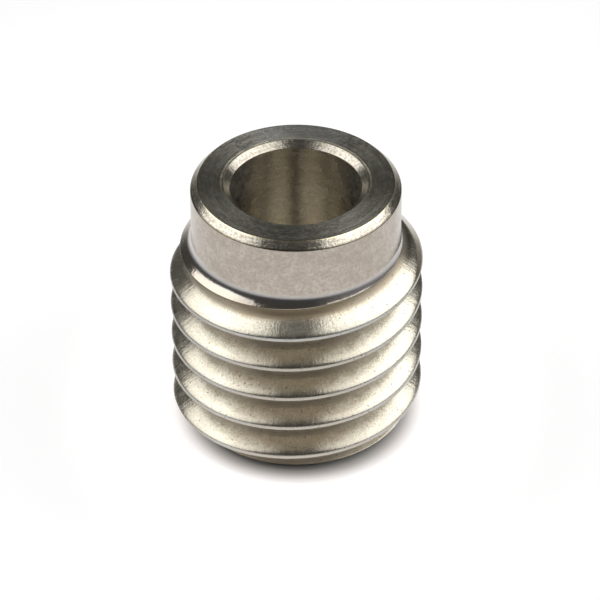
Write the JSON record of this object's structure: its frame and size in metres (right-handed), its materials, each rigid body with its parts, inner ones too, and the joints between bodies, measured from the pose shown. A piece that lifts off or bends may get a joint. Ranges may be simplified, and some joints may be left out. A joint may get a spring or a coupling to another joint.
{
  "type": "hollow set screw",
  "caption": "Short threaded set screw with a plain bored collar at one end, a chamfered shoulder above the thread and a hexagon socket in the other end.",
  "frame": {"origin": "centre of the flat drive end that it stands on", "axes": "+Z along the screw's axis, from the drive end towards the plain point; -Y faces the side from which it is seen"},
  "size_m": [0.012, 0.012, 0.0132],
  "materials": {
    "turned_steel": "machined, bare, satin"
  },
  "bodies": {
    "root": {"set_screw": "turned_steel"}
  },
  "joints": []
}
